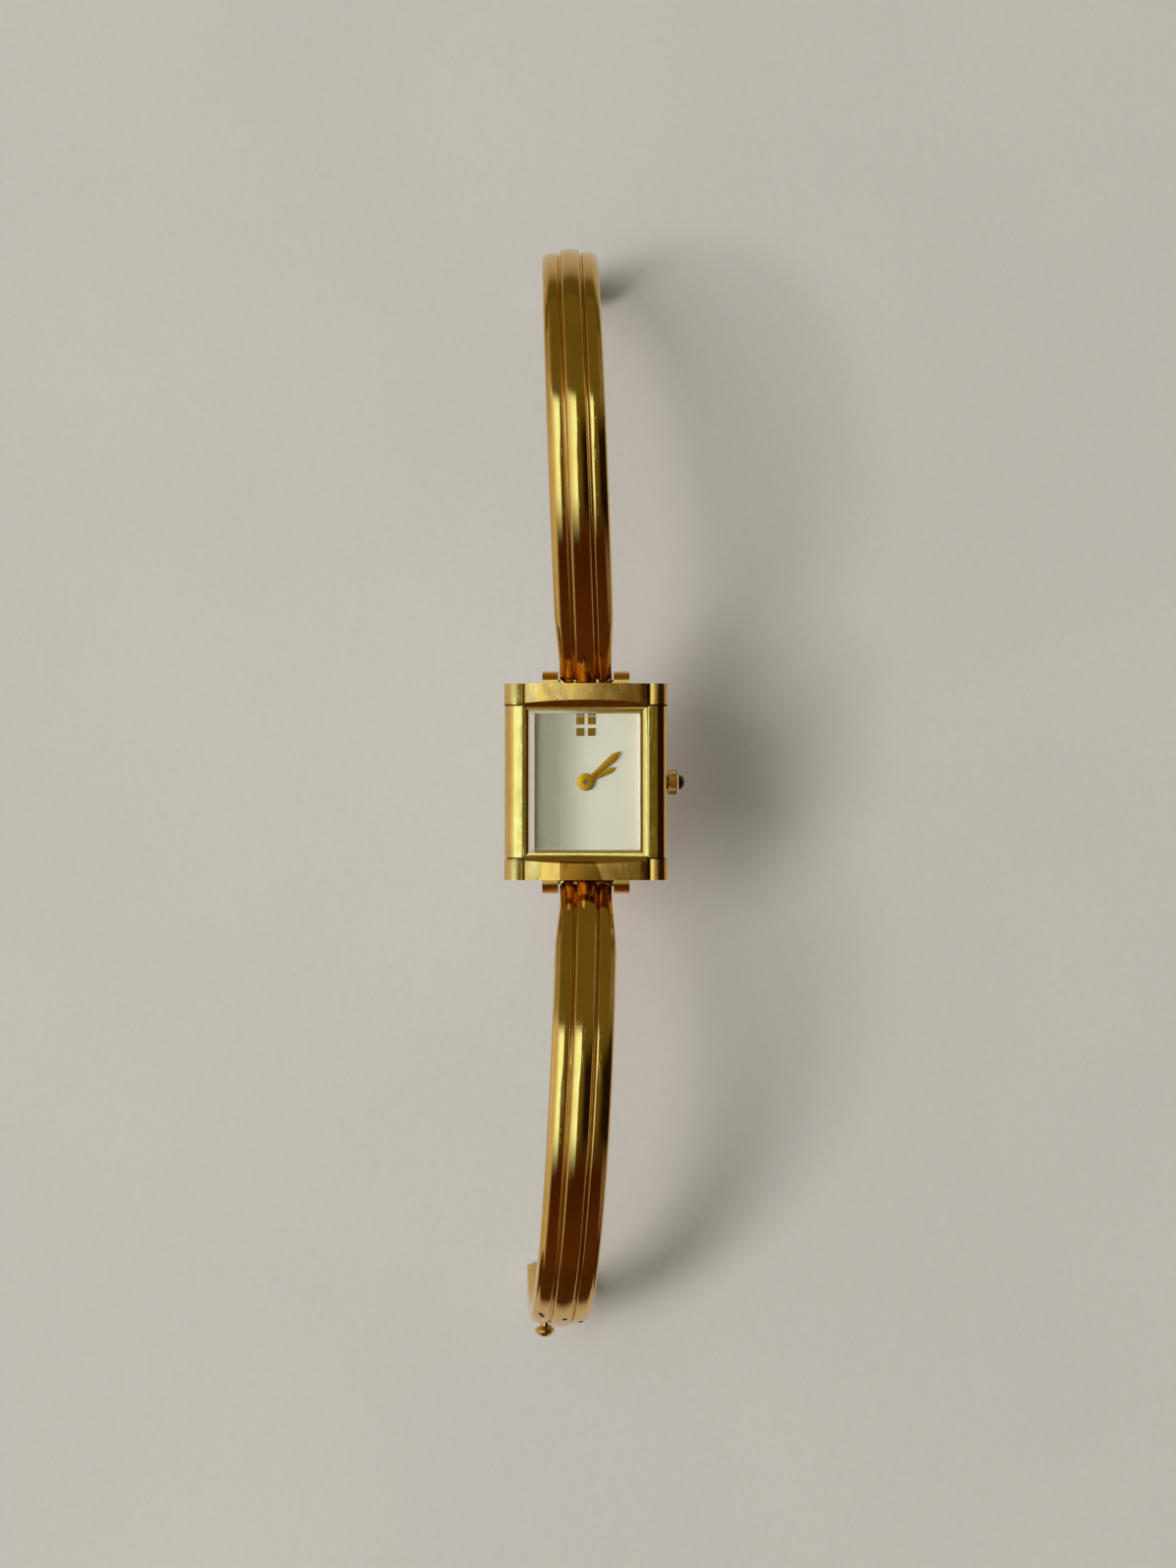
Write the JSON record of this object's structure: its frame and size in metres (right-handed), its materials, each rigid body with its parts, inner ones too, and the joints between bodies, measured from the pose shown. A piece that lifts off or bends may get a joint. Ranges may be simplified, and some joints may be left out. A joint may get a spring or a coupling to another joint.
{
  "type": "cuff watch",
  "caption": "Rectangular cuff watch in polished gold, its case hinged between reeded bangle arms that swing open at a push-button clasp, with a fluted crown set with a black stone.",
  "frame": {"origin": "centre of the outer flat face of the case back", "axes": "+Z out through the dial, +Y to twelve o'clock along the case and the arms, +X to the crown"},
  "size_m": [0.0195, 0.1255, 0.0414],
  "materials": {
    "gold": "polished, lightly worn",
    "hand_gold": "polished",
    "crystal": "polished mineral crystal",
    "clear_gasket": "translucent",
    "black_gasket": "matte",
    "onyx": "polished stone",
    "dial": "satin silver",
    "spring_gold": "satin",
    "steel": "polished",
    "nickel": "fine grained",
    "wheel_brass": "bright",
    "magnet": "plain",
    "core_iron": "annealed",
    "copper": "enamelled wire",
    "board": "solder mask",
    "chip_black": "moulded",
    "cell_steel": "satin",
    "holder": "moulded"
  },
  "bodies": {
    "case": {"case_body": "gold", "crystal": "crystal", "crystal_gasket": "clear_gasket", "dial_frame": "gold", "case_back": "gold", "back_gasket": "black_gasket", "crown_tube": "gold", "dial": "dial", "hour_markers": "hand_gold", "minute_wheel_post": "steel", "stator": "core_iron", "coil_core": "core_iron", "coil_winding": "copper", "main_plate": "nickel", "train_bridge": "nickel", "movement_screws": "steel", "circuit_board": "board", "chip": "chip_black", "quartz_can": "cell_steel", "battery": "cell_steel", "battery_clamp": "steel", "battery_contact": "steel", "movement_holder": "holder", "lever_pin": "steel", "hinge_pin_top": "gold", "hinge_pin_bottom": "gold"},
    "top_arm_body": {"top_arm": "gold", "clasp_tongue": "spring_gold", "tongue_rivets": "gold"},
    "bottom_arm_body": {"bottom_arm": "gold", "clasp_cover": "gold", "cover_rivets": "gold", "clasp_spring": "steel"},
    "button_body": {"clasp_button": "gold", "clasp_catch": "spring_gold"},
    "crown_slide_body": {"crown_gasket": "black_gasket"},
    "crown_turn_body": {"crown": "gold", "crown_stone": "onyx", "setting_stem": "steel", "stem_pinion": "steel"},
    "lever_body": {"setting_lever": "steel"},
    "minute_body": {"minute_hand": "hand_gold", "cannon_pinion": "wheel_brass", "centre_wheel": "wheel_brass"},
    "hour_body": {"hour_hand": "hand_gold", "hour_wheel": "wheel_brass"},
    "minute_wheel_body": {"minute_wheel": "wheel_brass"},
    "third_body": {"third_wheel": "wheel_brass"},
    "intermediate_body": {"intermediate_wheel": "wheel_brass"},
    "rotor_body": {"rotor_pinion": "steel", "rotor_magnet": "magnet"}
  },
  "joints": [
    {"name": "top_arm_hinge", "type": "hinge", "parent": "case", "child": "top_arm_body", "pos_m": [0, 0.0107, 0.00283], "axis": [-1, 0, 0], "range_deg": [0, 70]},
    {"name": "bottom_arm_hinge", "type": "hinge", "parent": "case", "child": "bottom_arm_body", "pos_m": [0, -0.0107, 0.00283], "axis": [0.999, -0.0419, -0.0175], "range_deg": [0, 70]},
    {"name": "clasp_button_press", "type": "slide", "parent": "bottom_arm_body", "child": "button_body", "axis": [0.0488, 0.9988, -0.0009], "range_m": [0, 0.0004], "stiffness_N_per_m": 800, "springref_m": -0.0004, "deforming": ["clasp_spring"]},
    {"name": "crown_pull_out", "type": "slide", "parent": "case", "child": "crown_slide_body", "axis": [1, 0, 0], "range_m": [0, 0.001]},
    {"name": "crown_turn", "type": "hinge", "parent": "crown_slide_body", "child": "crown_turn_body", "pos_m": [0.01, 0, 0.0032], "axis": [1, 0, 0], "continuous": true},
    {"name": "setting_lever_swing", "type": "hinge", "parent": "case", "child": "lever_body", "pos_m": [0.0044, 0.0017, 0.0026], "axis": [0, 0, 1], "range_deg": [0, 34]},
    {"name": "minute_hand_turn", "type": "hinge", "parent": "case", "child": "minute_body", "pos_m": [0, 0, 0.00115], "axis": [0, 0, -1], "continuous": true},
    {"name": "hour_hand_turn", "type": "hinge", "parent": "case", "child": "hour_body", "pos_m": [0, 0, 0.00115], "axis": [0, 0, -1], "continuous": true},
    {"name": "minute_wheel_turn", "type": "hinge", "parent": "case", "child": "minute_wheel_body", "pos_m": [-0.0013, 0.00126, 0.00115], "axis": [0, 0, -1], "continuous": true},
    {"name": "third_wheel_turn", "type": "hinge", "parent": "case", "child": "third_body", "pos_m": [0.00187, -0.00131, 0.00115], "axis": [0, 0, -1], "continuous": true},
    {"name": "intermediate_wheel_turn", "type": "hinge", "parent": "case", "child": "intermediate_body", "pos_m": [0.00279, -0.00303, 0.00115], "axis": [0, 0, -1], "continuous": true},
    {"name": "rotor_turn", "type": "hinge", "parent": "case", "child": "rotor_body", "pos_m": [0.00304, -0.00448, 0.00115], "axis": [0, 0, -1], "continuous": true}
  ],
  "couplings": [
    {"joint": "setting_lever_swing", "follows": "crown_pull_out", "rad_per_m": 588.24},
    {"joint": "hour_hand_turn", "follows": "minute_hand_turn", "ratio": 0.083333},
    {"joint": "minute_wheel_turn", "follows": "minute_hand_turn", "ratio": -0.33333},
    {"joint": "third_wheel_turn", "follows": "minute_hand_turn", "ratio": -4},
    {"joint": "intermediate_wheel_turn", "follows": "minute_hand_turn", "ratio": 18},
    {"joint": "rotor_turn", "follows": "minute_hand_turn", "ratio": -90}
  ]
}
